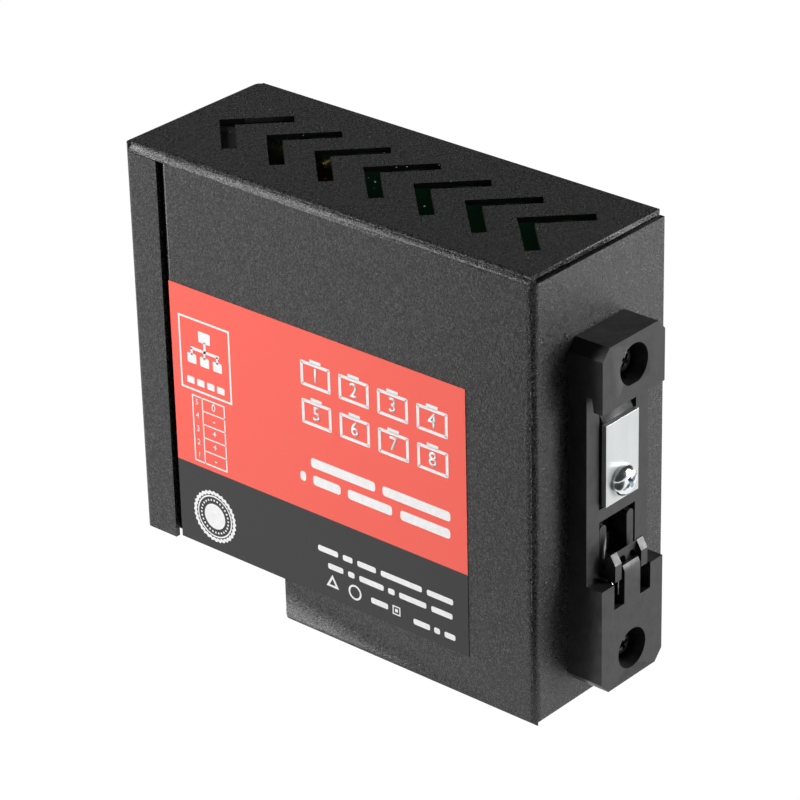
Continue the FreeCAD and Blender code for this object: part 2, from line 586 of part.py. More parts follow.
# ---------------------------------------------------------------- power terminal
HEADER_LENGTH = "(%s + 2 * header_end)" % PLUG_LENGTH
header = box("header_blank", ("header_height", "header_depth", HEADER_LENGTH),
             (BOARD_FACE, "header_front", "header_low"))
socket = box("header_socket", ("header_height - 2 * header_wall", "header_depth - header_wall", PLUG_LENGTH),
             (BOARD_FACE + " + header_wall", "header_front", PLUG_LOW))
PIN_LINE = "(%s + header_height / 2)" % BOARD_FACE
pins = []
pin_seats = []
entries = []
screw_seats = []
terminal_screws = []
for number in range(5):
    up = "(%s + (%d + 0.5) * way_pitch)" % (PLUG_LOW, number)
    arm = box("pin_arm_%d" % number, ("pin_side", "header_depth + pin_side - pin_start", "pin_side"),
              (PIN_LINE + " - pin_side / 2", "header_front + pin_start", up + " - pin_side / 2"))
    leg = box("pin_leg_%d" % number, ("header_height / 2 + pin_side / 2", "pin_side", "pin_side"),
              (BOARD_FACE, "header_front + header_depth", up + " - pin_side / 2"))
    pins.append(fuse("pin_%d" % number, [arm, leg]))
    pin_seats.append(box("pin_seat_%d" % number, ("pin_side", "3 * header_wall", "pin_side"),
                         (PIN_LINE + " - pin_side / 2", "header_front + header_depth - 2 * header_wall",
                          up + " - pin_side / 2")))
    entries.append(box("pin_way_%d" % number, ("2 * pin_side", "plug_insert", "2 * pin_side"),
                       (PIN_LINE + " - pin_side", "header_front + header_way", up + " - pin_side")))
    entries.append(box("wire_way_%d" % number, ("2 * wire_entry", "plug_proud", "2 * wire_entry"),
                       (PIN_LINE + " - wire_entry", "-plug_proud - pin_side", up + " - wire_entry")))
    screw_seats.append(rod("screw_way_%d" % number, "terminal_screw + plug_clear", "plug_height",
                           (BOARD_FACE + " + plug_height - screw_deep", "-plug_proud / 2", up), "x"))
    head = rod("terminal_head_%d" % number, "terminal_screw", "screw_deep - screw_below",
               (BOARD_FACE + " + plug_height - screw_deep", "-plug_proud / 2", up), "x")
    slot = box("terminal_slot_%d" % number, ("pin_side", "3 * terminal_screw", "pin_side / 2"),
               (BOARD_FACE + " + plug_height - screw_below - pin_side / 2",
                "-plug_proud / 2 - 1.5 * terminal_screw", up + " - pin_side / 4"))
    terminal_screws.append(cut("terminal_screw_%d" % number, head, slot))
node(cut("header_cut", header, fuse("header_holes", [socket] + pin_seats)), "terminal_header")
node(group("pin_set", pins), "terminal_pins")
plug = box("plug_blank", ("plug_height", "plug_proud + header_front - plug_clear", PLUG_LENGTH),
           (BOARD_FACE, "-plug_proud", PLUG_LOW))
insert = box("plug_insert_block", ("header_height - 2 * (header_wall + plug_clear)",
                                   "plug_insert + plug_clear",
                                   PLUG_LENGTH + " - 2 * plug_clear"),
             (BOARD_FACE + " + header_wall + plug_clear", "header_front - plug_clear",
              PLUG_LOW + " + plug_clear"))
node(cut("plug_cut", fuse("plug_joined", [plug, insert]), fuse("plug_holes", entries + screw_seats)),
     "terminal_plug")
node(group("terminal_screw_set", terminal_screws), "terminal_screws")

# ---------------------------------------------------------------- parts on the board
CAN_BACK = "(%s - can_inset)" % HOLE_BACK
INDUCTOR_FRONT = "(%s - can_radius - inductor_gap - inductor_side)" % CAN_BACK
leads = []
for number in range(16):
    step = "(%d - 7.5) * lead_pitch" % number
    for along, up, long_way in (
            ("chip_front - lead_length", "chip_low + chip_side / 2 + %s - lead_width / 2" % step, "y"),
            ("chip_front + chip_side", "chip_low + chip_side / 2 + %s - lead_width / 2" % step, "y"),
            ("chip_front + chip_side / 2 + %s - lead_width / 2" % step, "chip_low - lead_length", "z"),
            ("chip_front + chip_side / 2 + %s - lead_width / 2" % step, "chip_low + chip_side", "z")):
        size = (("lead_width", "lead_length", "lead_width") if long_way == "y"
                else ("lead_width", "lead_width", "lead_length"))
        leads.append(box("lead_%d" % len(leads), size, (BOARD_FACE, along, up)))
chip = box("chip_block", ("chip_height", "chip_side", "chip_side"), (BOARD_FACE, "chip_front", "chip_low"))
node(group("chip_set", [chip] + leads), "switch_chip")
node(group("coil_set", [box("coil_pack_%d" % number,
                            ("coil_pack_height", "coil_pack_depth", "coil_pack_length"),
                            (BOARD_FACE, "coil_pack_front",
                             "coil_pack_low + %d * (coil_pack_length + coil_pack_gap)" % number))
                        for number in range(2)]), "magnetics")
node(group("can_set", [rod("can_%d" % number, "can_radius", "can_height",
                           (BOARD_FACE, CAN_BACK, "can_low + %d * can_pitch" % number), "x")
                       for number in range(2)]), "capacitors")
node(box("inductor_block", ("inductor_height", "inductor_side", "inductor_side"),
         (BOARD_FACE, INDUCTOR_FRONT, "inductor_low")), "inductor")
node(box("crystal_block", ("crystal_height", "crystal_length", "crystal_width"),
         (BOARD_FACE, "crystal_front", "crystal_low")), "crystal")
node(box("regulator_block", ("regulator_height", "regulator_length", "regulator_width"),
         (BOARD_FACE, INDUCTOR_FRONT + " - regulator_gap - regulator_length",
          "regulator_low")), "regulator")
node(group("chip_part_set", [box("chip_part_%d" % number,
                                 ("chip_part_height", "chip_part_length", "chip_part_width"),
                                 (BOARD_FACE, "chip_front + %d * chip_part_pitch" % number, "chip_part_low"))
                             for number in range(8)]), "board_chip_parts")
node(box("light_block", ("light_thick", "light_side", "light_side"),
         (BOARD_FACE, "pipe_back - light_side / 2", "pipe_up - light_side / 2")), "power_light")
node(fuse("light_pipe", [
    box("pipe_rise", ("pipe_out + pipe_half - (%s + light_thick + light_clear)" % BOARD_FACE,
                      "2 * pipe_half", "2 * pipe_half"),
        (BOARD_FACE + " + light_thick + light_clear", "pipe_back - pipe_half", "pipe_up - pipe_half")),
    box("pipe_run", ("2 * pipe_half", "pipe_back + pipe_half + port_proud", "2 * pipe_half"),
        ("pipe_out - pipe_half", "-port_proud", "pipe_up - pipe_half"))]), "power_light_pipe")

# ---------------------------------------------------------------- rail clip, behind the rear panel
clip = body("clip_form")
pad(clip, outline(clip, "clip_profile", "YZ_Plane", [
    ("0", "clip_low"), ("clip_depth", "clip_low"), ("clip_depth", "rail_low_stop"),
    ("rail_seat", "rail_low_stop"), ("rail_seat", "hook_root"), ("rail_seat + hook_gap", "hook_root"),
    ("rail_seat + hook_gap + hook_taper", "rail_lip"), ("clip_depth", "rail_lip"),
    ("clip_depth", "clip_top"), ("0", "clip_top")]), "clip_width", middle=True)
for name, edge, turn in (("corner_top", "clip_top", "-"), ("corner_low", "clip_low", "+")):
    for side in ("-", "+"):
        rim = "(0 %s clip_width / 2)" % side
        back = "+" if side == "-" else "-"
        form = outline(clip, "%s_%s" % (name, "left" if side == "-" else "right"), "XZ_Plane", [
            (rim, edge), (rim + " %s clip_corner_across" % back, edge),
            (rim, "%s %s clip_corner_up" % (edge, turn))])
        pocket(clip, form, "4 * clip_depth", middle=True)
pocket(clip, outline(clip, "latch_room", "XZ_Plane",
                     rectangle("-window_side", "cavity_low", "window_side", "window_top")),
       "clip_depth - front_skin")
for side in ("-", "+"):
    name = "left" if side == "-" else "right"
    middle = "(0 %s slot_centre)" % side
    pocket(clip, outline(clip, "slot_" + name, "XZ_Plane",
                         rectangle(middle + " - slot_width / 2", "slot_low", middle + " + slot_width / 2",
                                   "rail_low_stop + gauge")), "4 * clip_depth", middle=True)
    inner = "(0 %s window_side)" % side
    outer = "(0 %s (window_side + lug_side + latch_play))" % side
    pocket(clip, outline(clip, "lug_way_" + name, "XZ_Plane",
                         rectangle(inner, "cavity_low", outer, "slide_low + lug_rise + lug_gap")),
           "slide_back + lug_thick + latch_play")
TROUGH = "(plate_width / 2 + trough_side)"
trough = box("trough", ("2 * " + TROUGH, "clip_depth", "hook_root - plate_low + trough_side"),
             ("-" + TROUGH, "trough_floor", "plate_low - trough_side"))
RAMP_FOOT = "(plate_top + ramp_run)"
seat = body("seat_form")
pad(seat, outline(seat, "seat_profile", "YZ_Plane", [
    ("trough_floor - gauge", "plate_low"), ("rail_seat + seat_height", "plate_low"),
    ("rail_seat + seat_height", "plate_top"), ("trough_floor", RAMP_FOOT),
    ("trough_floor - gauge", RAMP_FOOT)]), "plate_width - 2 * seat_side", middle=True)
tongue = body("tongue_form")
pad(tongue, outline(tongue, "tongue_profile", "YZ_Plane", [
    ("clip_depth - tongue_thick", "slot_low"), ("clip_depth", "slot_low"),
    ("clip_depth", "rail_low_stop + tongue_rise - tongue_thick"),
    ("clip_depth - tongue_thick / 2", "rail_low_stop + tongue_rise"),
    ("clip_depth - tongue_thick", "rail_low_stop + tongue_rise")]),
    "2 * slot_centre - slot_width", middle=True)
peg = box("spring_peg", ("2 * peg_half", "2 * spring_radius", "peg_rise + gauge"),
          ("-peg_half", "slide_back + slide_thick / 2 - spring_radius", "cavity_low - gauge"))
bores = []
for index, up in enumerate(("clip_hole_low", "clip_hole_top")):
    bores.append(rod("clip_bore_%d" % index, "clip_bore", "clip_depth", ("0", "clip_bore_floor", up), "y"))
    bores.append(hexagon("clip_way_%d" % index, "clip_screw + screw_play", "3 * clip_depth",
                     ("0", "-clip_depth", up), "y"))
pilot = hexagon("plate_pilot", "plate_screw_root", "clip_depth", ("0", "gauge", "plate_hole"), "y")
clip_cut = cut("clip_cut", clip, fuse("clip_holes", bores + [trough]))
node(cut("clip_bored", fuse("clip_joined", [clip_cut, seat, tongue, peg]), pilot), "clip_body", REAR_FACE)

PLATE_BACK = "(rail_seat + seat_height)"
plate = box("plate_blank", ("plate_width", "plate_thick", "plate_top - plate_low"),
            ("-plate_width / 2", PLATE_BACK, "plate_low"))
node(cut("plate_cut", plate, hexagon("plate_way", "clip_screw + screw_play", "3 * plate_thick",
                                 ("0", PLATE_BACK + " - plate_thick", "plate_hole"), "y")),
     "clip_plate", REAR_FACE)


def cross_screw(name, head_radius, head_height, shank_radius, shank_length, along, up):
    """A screw that points into the clip, with a cross recess in its head."""
    head = rod(name + "_head", head_radius, head_height, ("0", along, up), "y")
    shank = hexagon(name + "_shank", shank_radius, shank_length,
                    ("0", "%s - (%s)" % (along, shank_length), up), "y")
    rim = "%s + %s / 2" % (along, head_height)
    bars = [box(name + "_bar_a", (head_radius + " * 1.3", head_height, "recess_width"),
                ("0 - %s * 0.65" % head_radius, rim, up + " - recess_width / 2")),
            box(name + "_bar_b", ("recess_width", head_height, head_radius + " * 1.3"),
                ("0 - recess_width / 2", rim, "%s - %s * 0.65" % (up, head_radius)))]
    return cut(name, fuse(name + "_joined", [head, shank]), fuse(name + "_recess", bars))


node(group("plate_screw_set", [
    cross_screw("plate_fixing", "plate_head", "plate_head_height", "plate_screw_root",
                "plate_thick + rail_seat / 2", PLATE_BACK + " + plate_thick", "plate_hole")]),
     "plate_screw", REAR_FACE)
node(group("clip_screw_set", [
    cross_screw("clip_fixing_%d" % index, "clip_head", "clip_head_height", "clip_screw",
                "clip_bore_floor + rivet_length", "clip_bore_floor", up)
    for index, up in enumerate(("clip_hole_low", "clip_hole_top"))]),
     "clip_screws", REAR_FACE)
rivets = []
for index, up in enumerate(("clip_hole_low", "clip_hole_top")):
    stem = hexagon("rivet_stem_%d" % index, "rivet_nut", "rivet_length", ("0", "0 - rivet_length", up), "y")
    flange = hexagon("rivet_flange_%d" % index, "rivet_flange", "gauge", ("0", "-2 * gauge", up), "y")
    thread = hexagon("rivet_thread_%d" % index, "clip_screw", "3 * rivet_length",
                 ("0", "-2 * rivet_length", up), "y")
    rivets.append(cut("rivet_%d" % index, fuse("rivet_joined_%d" % index, [stem, flange]), thread))
node(group("rivet_set", rivets), "clip_press_nuts", REAR_FACE)

# ---------------------------------------------------------------- sliding latch and its spring
SLIDE_SIDE = "(window_side - latch_play)"
slide_parts = [box("slide_plate", ("2 * " + SLIDE_SIDE, "slide_thick", "slide_top - slide_low"),
                   ("-" + SLIDE_SIDE, "slide_back", "slide_low")),
               box("slide_lugs", ("2 * (window_side + lug_side)", "lug_thick", "lug_rise"),
                   ("-(window_side + lug_side)", "slide_back", "slide_low")),
               box("latch_shelf", ("2 * nose_side", "nose_back - slide_back", "shelf_thick"),
                   ("-nose_side", "slide_back", "nose_low"))]
for side in (-1, 1):
    left = "(%d * (%s - arm_width / 2) - arm_width / 2)" % (side, SLIDE_SIDE)
    slide_parts.append(box("arm_%d" % (side + 1), ("arm_width", "slide_thick", "arm_rise - arm_width / 2"),
                           (left, "slide_back", "slide_top")))
    slide_parts.append(rod("arm_tip_%d" % (side + 1), "arm_width / 2", "slide_thick",
                           (left + " + arm_width / 2", "slide_back",
                            "slide_top + arm_rise - arm_width / 2"), "y"))
nose = body("nose_form")
pad(nose, outline(nose, "nose_profile", "YZ_Plane", [
    ("nose_back", "nose_low"), ("nose_ridge", "nose_low"), ("nose_ridge", "nose_top"),
    ("nose_back", "nose_top - nose_back_fall")]), "2 * nose_side", middle=True)
slide_parts.append(nose)
for side in (-1, 1):
    prong = body("prong_form_%d" % (side + 1))
    middle = "%d * (nose_side - prong_width / 2)" % side
    pad(prong, outline(prong, "prong_profile_%d" % (side + 1), "YZ_Plane", [
        ("nose_ridge - latch_play", "nose_low"), ("nose_front", "nose_low"),
        ("nose_front", "nose_top - nose_fall"), ("nose_ridge", "nose_top"),
        ("nose_ridge - latch_play", "nose_top")], middle + " - prong_width / 2"), "prong_width")
    slide_parts.append(prong)
arches = [box("spring_way", ("2 * spring_slot", "4 * slide_thick", "spring_top - slide_low + gauge"),
              ("-spring_slot", "slide_back + slide_thick - 4 * slide_thick", "slide_low - gauge"))]
for side in (-1, 1):
    arches.append(rod("arch_%d" % (side + 1), "arch_radius", "nose_ridge",
                      ("%d * (arch_radius + web_half)" % side, "nose_back + latch_play", "nose_low"), "y"))
node(cut("latch_cut", fuse("latch_joined", slide_parts), fuse("latch_ways", arches)), "clip_latch", REAR_FACE)

coil = doc.addObject("Part::Helix", "coil_line")
bind(coil, "Pitch", "(spring_top - cavity_low - peg_rise - spring_wire) / spring_turns")
bind(coil, "Height", "spring_top - cavity_low - peg_rise - spring_wire")
bind(coil, "Radius", "spring_radius")
ring = doc.addObject("Part::RegularPolygon", "coil_section")
ring.Polygon = 4
bind(ring, "Circumradius", "spring_wire / 2")
ring.Placement.Rotation = TURNS["y"]
place(ring, "spring_radius")
sweep = doc.addObject("Part::Sweep", "coil_sweep")
sweep.Sections = [ring]
sweep.Spine = (coil, ["Edge1"])
sweep.Solid = True
sweep.Frenet = True
place(sweep, "0", "slide_back + slide_thick / 2", "cavity_low + peg_rise + spring_wire / 2")
node(group("spring_set", [sweep]), "latch_spring", REAR_FACE)

# ---------------------------------------------------------------- checks and export
doc.recompute()
for thing in doc.Objects:
    if "Invalid" in thing.State or "Error" in thing.State:
        raise RuntimeError("%s did not build: %s" % (thing.Name, thing.State))
for thing in nodes:
    if thing.Shape.isNull() or not thing.Shape.isValid():
        raise RuntimeError(thing.Label + " has no sound shape")
os.makedirs("parts", exist_ok=True)
for thing in nodes:
    thing.Shape.exportStep("parts/%s.step" % thing.Label)
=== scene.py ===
"""Looks of a DIN rail network switch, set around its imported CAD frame. Metres, row frame."""
import math
import random

import bmesh
import bpy
from mathutils import Matrix, Vector


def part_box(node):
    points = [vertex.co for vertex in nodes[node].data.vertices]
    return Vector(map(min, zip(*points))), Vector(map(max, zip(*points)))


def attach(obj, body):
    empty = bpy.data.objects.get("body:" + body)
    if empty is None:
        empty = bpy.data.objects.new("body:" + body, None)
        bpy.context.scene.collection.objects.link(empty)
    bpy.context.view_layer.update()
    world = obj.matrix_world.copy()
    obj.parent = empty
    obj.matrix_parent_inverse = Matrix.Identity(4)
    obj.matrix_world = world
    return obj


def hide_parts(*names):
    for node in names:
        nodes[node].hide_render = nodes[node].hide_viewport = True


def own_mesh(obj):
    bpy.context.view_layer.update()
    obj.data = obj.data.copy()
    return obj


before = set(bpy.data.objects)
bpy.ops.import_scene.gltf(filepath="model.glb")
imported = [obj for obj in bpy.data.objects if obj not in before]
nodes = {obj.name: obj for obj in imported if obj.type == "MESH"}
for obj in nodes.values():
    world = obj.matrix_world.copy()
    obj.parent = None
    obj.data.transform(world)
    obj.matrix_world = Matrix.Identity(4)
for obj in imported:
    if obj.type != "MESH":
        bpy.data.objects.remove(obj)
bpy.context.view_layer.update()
MM = 0.001

# ---------------------------------------------------------------- studio
# The part stands on a pale floor between two soft lamps, one on each side of the camera, under
# a dim ceiling. The long lens looks down on the labelled side, the top and the rail clip.
# Angles are degrees: azimuth from +X toward +Y, elevation from the floor.
scene = bpy.context.scene
scene.view_settings.view_transform = "Standard"
AIM = Vector((-0.24, 0.68, 44.47)) * MM
DISTANCE = 684.4 * MM
AZIMUTH = 41.567
ELEVATION = 27.171
ROLL = -1.415


def outward(azimuth, elevation):
    """The direction from the part toward a place given by its two angles in degrees."""
    turn, rise = math.radians(azimuth), math.radians(elevation)
    flat = math.cos(rise)
    return Vector((flat * math.cos(turn), flat * math.sin(turn), math.sin(rise)))


def stand(thing, azimuth, elevation, distance, roll=0.0):
    """Place a camera or lamp at two angles from the part and face it to the part."""
    away = outward(azimuth, elevation)
    thing.location = AIM + away * distance
    tilt = Matrix.Rotation(math.radians(roll), 4, "Z").to_quaternion()
    thing.rotation_euler = ((-away).to_track_quat("-Z", "Y") @ tilt).to_euler()
    scene.collection.objects.link(thing)


camera = bpy.data.objects.new("camera", bpy.data.cameras.new("camera"))
camera.data.sensor_width = 36.0
camera.data.lens = 164.77
camera.data.clip_start = 0.01
stand(camera, AZIMUTH, ELEVATION, DISTANCE, ROLL)
scene.camera = camera

LAMP_DISTANCE = 0.75
# name, azimuth, elevation, size in metres, power in watts
LAMPS = [("lamp_left", -51.0, 33.0, (0.54, 0.56), 9.6),
         ("lamp_right", 127.0, 10.0, (0.27, 0.60), 7.6)]
for name, azimuth, elevation, size, power in LAMPS:
    lamp = bpy.data.objects.new(name, bpy.data.lights.new(name, "AREA"))
    lamp.data.shape = "RECTANGLE"
    lamp.data.size, lamp.data.size_y = size
    lamp.data.energy = power
    stand(lamp, azimuth, elevation, LAMP_DISTANCE)


def add_node(tree, kind, **settings):
    """Add a shader node, with its plain settings and its input values by name."""
    node = tree.nodes.new(kind)
    for key, value in settings.items():
        if hasattr(node, key):
            setattr(node, key, value)
        else:
            node.inputs[key].default_value = value
    return node


def wire(tree, *links):
    """Join each (output, input) pair of sockets."""
    for output, input_socket in links:
        tree.links.new(output, input_socket)


world = bpy.data.worlds.new("studio")
world.use_nodes = True
scene.world = world
tree = world.node_tree
tree.nodes.clear()
place = add_node(tree, "ShaderNodeTexCoord")
height = add_node(tree, "ShaderNodeSeparateXYZ")
ceiling = add_node(tree, "ShaderNodeValToRGB")
horizon, overhead = ceiling.color_ramp.elements
horizon.position, horizon.color = 0.0, (1.0, 1.0, 1.0, 1)
overhead.position, overhead.color = 0.05, (0.04, 0.04, 0.04, 1)
room = add_node(tree, "ShaderNodeBackground")
glow = add_node(tree, "ShaderNodeBackground", Strength=0.06)
path = add_node(tree, "ShaderNodeLightPath")
mix = add_node(tree, "ShaderNodeMixShader")
out = add_node(tree, "ShaderNodeOutputWorld")
wire(tree,
     (place.outputs["Generated"], height.inputs[0]),
     (height.outputs["Z"], ceiling.inputs["Fac"]),
     (ceiling.outputs["Color"], room.inputs["Color"]),
     (ceiling.outputs["Color"], glow.inputs["Color"]),
     (path.outputs["Is Diffuse Ray"], mix.inputs[0]),
     (room.outputs[0], mix.inputs[1]),
     (glow.outputs[0], mix.inputs[2]),
     (mix.outputs[0], out.inputs["Surface"]))

# ---------------------------------------------------------------- floor
# A wide white table. The camera and glossy surfaces see it white, and it keeps a faint shadow.


def finish(name, colour, roughness, metallic=0.0, specular=0.5):
    """A material whose shader is ready for its patterns."""
    material = bpy.data.materials.new(name)
    material.use_nodes = True
    shader = material.node_tree.nodes["Principled BSDF"]
    shader.inputs["Base Color"].default_value = (*colour, 1)
    shader.inputs["Roughness"].default_value = roughness
    shader.inputs["Metallic"].default_value = metallic
    shader.inputs["Specular IOR Level"].default_value = specular
    return material


def linked(name, mesh, material):
    """Make an object of a mesh with its material, and put it in the scene."""
    data = bpy.data.meshes.new(name)
    mesh.to_mesh(data)
    mesh.free()
    data.materials.append(material)
    thing = bpy.data.objects.new(name, data)
    scene.collection.objects.link(thing)
    return thing


paper = bpy.data.materials.new("white_table")
paper.use_nodes = True
tree = paper.node_tree
tree.nodes.clear()
matt = add_node(tree, "ShaderNodeBsdfDiffuse", Color=(0.45, 0.45, 0.45, 1))
light = add_node(tree, "ShaderNodeEmission", Strength=1.03)
soft = add_node(tree, "ShaderNodeMixShader", Fac=0.97)
path = add_node(tree, "ShaderNodeLightPath")
seen = add_node(tree, "ShaderNodeMath", operation="MAXIMUM")
mix = add_node(tree, "ShaderNodeMixShader")
out = add_node(tree, "ShaderNodeOutputMaterial")
wire(tree,
     (matt.outputs[0], soft.inputs[1]),
     (light.outputs[0], soft.inputs[2]),
     (path.outputs["Is Camera Ray"], seen.inputs[0]),
     (path.outputs["Is Glossy Ray"], seen.inputs[1]),
     (seen.outputs[0], mix.inputs[0]),
     (matt.outputs[0], mix.inputs[1]),
     (soft.outputs[0], mix.inputs[2]),
     (mix.outputs[0], out.inputs["Surface"]))
TABLE_HALF = 3.0
mesh = bmesh.new()
bmesh.ops.create_grid(mesh, x_segments=1, y_segments=1, size=TABLE_HALF)
floor = linked("floor", mesh, paper)

# A dark card lies before the camera, out of its sight, so that the upright bend stays dark.
CARD_RADIUS, CARD_AWAY, CARD_ABOVE = 0.30, 0.36, 0.001
card_place = outward(AZIMUTH, 0) * CARD_AWAY + Vector((0, 0, CARD_ABOVE))
mesh = bmesh.new()
bmesh.ops.create_circle(mesh, cap_ends=True, segments=48, radius=CARD_RADIUS)
bmesh.ops.translate(mesh, vec=card_place, verts=mesh.verts)
card = linked("dark_card", mesh, finish("dark_felt", (0.02, 0.02, 0.02), 0.9))
card.visible_camera = False
card.visible_diffuse = False
card.visible_shadow = False

# ---------------------------------------------------------------- folded case and its covers
# Sheet steel, 1 mm thick, cut and folded, then powder coated black with a fine texture. The front
# cover laps the shell, and the far side is closed by a flat cover under four countersunk screws.


def grain(material, scale, detail=2.0, kind="ShaderNodeTexNoise", stretch=(1, 1, 1)):
    """The 0 to 1 output of a pattern that lies in the piece's own space."""
    tree = material.node_tree
    place = add_node(tree, "ShaderNodeTexCoord")
    mapping = add_node(tree, "ShaderNodeMapping", Scale=stretch)
    pattern = add_node(tree, kind, Scale=scale)
    if kind == "ShaderNodeTexNoise":
        pattern.inputs["Detail"].default_value = detail
    wire(tree, (place.outputs["Object"], mapping.inputs["Vector"]),
         (mapping.outputs["Vector"], pattern.inputs["Vector"]))
    return pattern.outputs[0]


def tint(material, socket, stops, target="Base Color"):
    """Colour, or grade another input, from a pattern by a ramp of (place, colour) stops."""
    tree = material.node_tree
    ramp = add_node(tree, "ShaderNodeValToRGB")
    elements = ramp.color_ramp.elements
    while len(elements) < len(stops):
        elements.new(0.5)
    for element, (position, colour) in zip(elements, stops):
        element.position = position
        shade = colour if isinstance(colour, tuple) else (colour, colour, colour)
        element.color = (*shade, 1)
    wire(tree, (socket, ramp.inputs["Fac"]),
         (ramp.outputs["Color"], tree.nodes["Principled BSDF"].inputs[target]))


def raise_grain(material, layers):
    """Bump from (pattern, depth in metres) layers, one over the other."""
    tree = material.node_tree
    normal = None
    for socket, depth in layers:
        bump = add_node(tree, "ShaderNodeBump", Distance=depth)
        wire(tree, (socket, bump.inputs["Height"]))
        if normal:
            wire(tree, (normal, bump.inputs["Normal"]))
        normal = bump.outputs["Normal"]
    wire(tree, (normal, tree.nodes["Principled BSDF"].inputs["Normal"]))


powder = finish("powder_coat", (0.012, 0.012, 0.012), 0.30, specular=0.50)
speck = grain(powder, 4300, 1.0)
tint(powder, speck, [(0.40, 0.002), (0.51, 0.007), (0.62, 0.066)])
tint(powder, grain(powder, 900), [(0.35, 0.22), (0.65, 0.34)], "Roughness")
raise_grain(powder, [(speck, 0.00012), (grain(powder, 1500, 1.0), 0.00004)])
# Painted shade: a near-black finish for the vent walls, standing for the shade inside the case.
vent_painted_shade = finish("vent_painted_shade", (0.006, 0.006, 0.006), 0.7, specular=0.1)
tint(vent_painted_shade, grain(vent_painted_shade, 900), [(0.3, 0.004), (0.7, 0.009)])

WELD = 2e-6
FLAT = math.radians(0.8)
SHARP = math.radians(40)


def flattened(mesh):
    """Join neighbouring faces that lie flat to one another."""
    bmesh.ops.dissolve_limit(mesh, angle_limit=FLAT, verts=mesh.verts, edges=mesh.edges)
    return mesh


def closed_copy(node):
    """A copy of a CAD node's mesh with its loose triangles merged into whole faces."""
    mesh = bmesh.new()
    mesh.from_mesh(nodes[node].data)
    bmesh.ops.remove_doubles(mesh, verts=mesh.verts, dist=WELD)
    return flattened(mesh)


def dressed(node, finish_material, edge, body="case", mesh=None):
    """A smooth-shaded copy of a CAD node, with its sharp edges eased, in the node's place."""
    mesh = mesh or closed_copy(node)
    for face in mesh.faces:
        face.smooth = True
        face.material_index = 0
    piece = linked(node + "_finished", mesh, finish_material)
    piece.data.set_sharp_from_angle(angle=SHARP)
    if edge:
        ease = piece.modifiers.new("eased_edges", "BEVEL")
        ease.width = edge
        ease.segments = 2
        ease.limit_method = "ANGLE"
        ease.angle_limit = SHARP
        ease.harden_normals = True
    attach(piece, body)
    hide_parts(node)
    return piece


def second_finish(piece, material, chosen):
    """Give the faces that a test picks a finish of their own."""
    piece.data.materials.append(material)
    for face in piece.data.polygons:
        if chosen(face):
            face.material_index = 1


def combine(mesh, tool, operation):
    """Join a second closed mesh to the first, or cut it away, and let the tool mesh go."""
    shapes = []
    for number, part in enumerate((mesh, tool)):
        data = bpy.data.meshes.new("blank")
        part.to_mesh(data)
        shapes.append(bpy.data.objects.new("blank_%d" % number, data))
        scene.collection.objects.link(shapes[-1])
    tool.free()
    act = shapes[0].modifiers.new("act", "BOOLEAN")
    act.operation = operation
    act.solver = "EXACT"
    act.object = shapes[1]
    bpy.context.view_layer.update()
    made = bpy.data.meshes.new_from_object(
        shapes[0].evaluated_get(bpy.context.evaluated_depsgraph_get()))
    mesh.clear()
    mesh.from_mesh(made)
    for shape in shapes:
        bpy.data.objects.remove(shape)


def stretched(mesh, faces, vec):
    """Draw faces out into a block."""
    made = bmesh.ops.extrude_face_region(mesh, geom=faces)
    bmesh.ops.translate(mesh, vec=vec, verts=[item for item in made["geom"]
                                              if isinstance(item, bmesh.types.BMVert)])


def prism(rim, stretch, place=Matrix.Scale(MM, 4)):
    """A closed block from a flat outline in millimetres, drawn one way and set in its place."""
    mesh = bmesh.new()
    stretched(mesh, [mesh.faces.new([mesh.verts.new(point) for point in rim])], stretch)
    bmesh.ops.transform(mesh, matrix=place, verts=mesh.verts)
    bmesh.ops.recalc_face_normals(mesh, faces=mesh.faces)
    return mesh


# The shell's top sheet and its bend run straight on to the front edge, without the groove of the
# joggle. The fill stops at the first vent, which stays open.
SHELL_LOW, SHELL_HIGH = (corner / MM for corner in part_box("case_shell"))
TOP, FAR, SIDE, LIP_FRONT = SHELL_HIGH.z, SHELL_LOW.x, SHELL_HIGH.x, SHELL_LOW.y
BEND, GROOVE_FRONT, GROOVE_BACK, VENT_TIP = 1.8, -40.40, -39.38, -42.82
FILL, BEND_ROOT, BEND_INNER, BEND_SHEET, BEND_STEPS = 0.95, 3.5, 1.95, 0.9, 12
shell = closed_copy("case_shell")
for way, end in ((-1, FAR), (1, SIDE - BEND)):
    low = TOP - FILL
    rim = [(way * (GROOVE_FRONT - VENT_TIP), GROOVE_FRONT, low), (end, GROOVE_FRONT, low),
           (end, GROOVE_BACK, low), (way * (GROOVE_BACK - VENT_TIP), GROOVE_BACK, low)]
    combine(shell, prism(rim, (0, 0, FILL)), "UNION")
rim = [(SIDE - BEND_ROOT, LIP_FRONT, TOP)]
for step in range(BEND_STEPS + 1):
    angle = math.radians(90 - 90 / BEND_STEPS * step)
    rim.append((SIDE - BEND + BEND * math.cos(angle), LIP_FRONT,
                TOP - BEND + BEND * math.sin(angle)))
rim += [(SIDE - BEND_INNER, LIP_FRONT, TOP - BEND),
        (SIDE - BEND_ROOT, LIP_FRONT, TOP - BEND_SHEET)]
combine(shell, prism(rim, (0, GROOVE_BACK - LIP_FRONT, 0)), "UNION")

# The cut walls of the vents take a near-black finish: painted shade, for the shade inside the
# case.
VENT_DEPTH, UPRIGHT, SLANTED = 1.1, 0.1, 0.3


def vent_wall(face):
    """Whether a face stands upright in the top sheet and slants across the case."""
    return (face.center.z > (TOP - VENT_DEPTH) * MM and abs(face.normal.z) < UPRIGHT
            and abs(face.normal.x * face.normal.y) > SLANTED)


SHEET_EDGE = 0.2 * MM
case = dressed("case_shell", powder, SHEET_EDGE, mesh=flattened(shell))
second_finish(case, vent_painted_shade, vent_wall)

